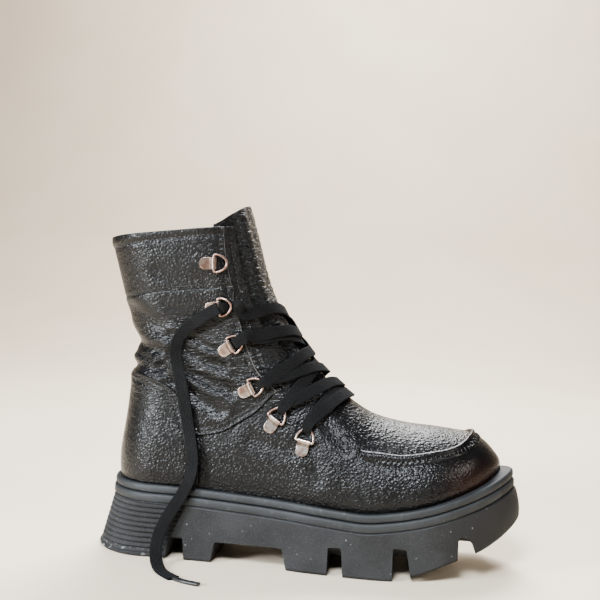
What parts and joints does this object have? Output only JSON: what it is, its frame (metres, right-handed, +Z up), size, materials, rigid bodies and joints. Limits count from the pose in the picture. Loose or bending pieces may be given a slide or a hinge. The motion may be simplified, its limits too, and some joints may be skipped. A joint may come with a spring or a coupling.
{
  "type": "combat boot",
  "caption": "Black grained leather lace-up boot with a thick lugged platform sole, a ribbed heel block and metal D-ring lace loops.",
  "frame": {"origin": "on the floor, under the middle of the heel block", "axes": "+X points to the toe, +Y to the inner side of the right foot and +Z up"},
  "size_m": [0.2995, 0.1442, 0.247],
  "materials": {
    "grained_leather": "black pebbled leather, semi-gloss",
    "tongue_leather": "black wrinkled leather, semi-gloss",
    "sole_rubber": "matt charcoal rubber, stippled side",
    "welt_rubber": "smooth matt charcoal rubber",
    "insole_board": "dark cloth over board",
    "loop_metal": "polished gunmetal plating",
    "lace_cotton": "flat woven black lace",
    "lace_tip": "black sheath"
  },
  "bodies": {
    "boot": {"outsole": "sole_rubber", "welt": "welt_rubber", "insole": "insole_board", "upper": "grained_leather", "heel_counter": "grained_leather", "quarter_lateral": "grained_leather", "quarter_medial": "grained_leather", "collar_cuff": "grained_leather", "apron_ridge": "grained_leather", "tongue": "tongue_leather", "lace_crossings": "lace_cotton", "lace_end_lateral": "lace_cotton", "lace_tip_lateral": "lace_tip", "lace_ring_lateral_2": "loop_metal", "lace_ring_medial_2": "loop_metal", "lace_ring_lateral_3": "loop_metal", "lace_ring_medial_3": "loop_metal", "lace_ring_lateral_4": "loop_metal", "lace_ring_medial_4": "loop_metal", "lace_ring_lateral_5": "loop_metal", "lace_ring_medial_5": "loop_metal", "lace_ring_lateral_6": "loop_metal", "lace_ring_medial_6": "loop_metal", "loop_plate_lateral_1": "loop_metal", "loop_plate_medial_1": "loop_metal", "loop_plate_lateral_2": "loop_metal", "loop_plate_medial_2": "loop_metal", "loop_plate_lateral_3": "loop_metal", "loop_plate_medial_3": "loop_metal", "loop_plate_lateral_4": "loop_metal", "loop_plate_medial_4": "loop_metal", "loop_plate_lateral_5": "loop_metal", "loop_plate_medial_5": "loop_metal", "loop_plate_lateral_6": "loop_metal", "loop_plate_medial_6": "loop_metal"},
    "top_ring_lateral": {"lace_ring_lateral_1": "loop_metal"},
    "top_ring_medial": {"lace_ring_medial_1": "loop_metal"}
  },
  "joints": [
    {"name": "top_ring_lateral_swing", "type": "hinge", "parent": "boot", "child": "top_ring_lateral", "pos_m": [0.05283, -0.04313, 0.20359], "axis": [0.0386, 0.0421, -0.9984], "range_deg": [0, 150]},
    {"name": "top_ring_medial_swing", "type": "hinge", "parent": "boot", "child": "top_ring_medial", "pos_m": [0.05314, 0.04135, 0.20357], "axis": [-0.0328, 0.048, 0.9983], "range_deg": [0, 150]}
  ]
}
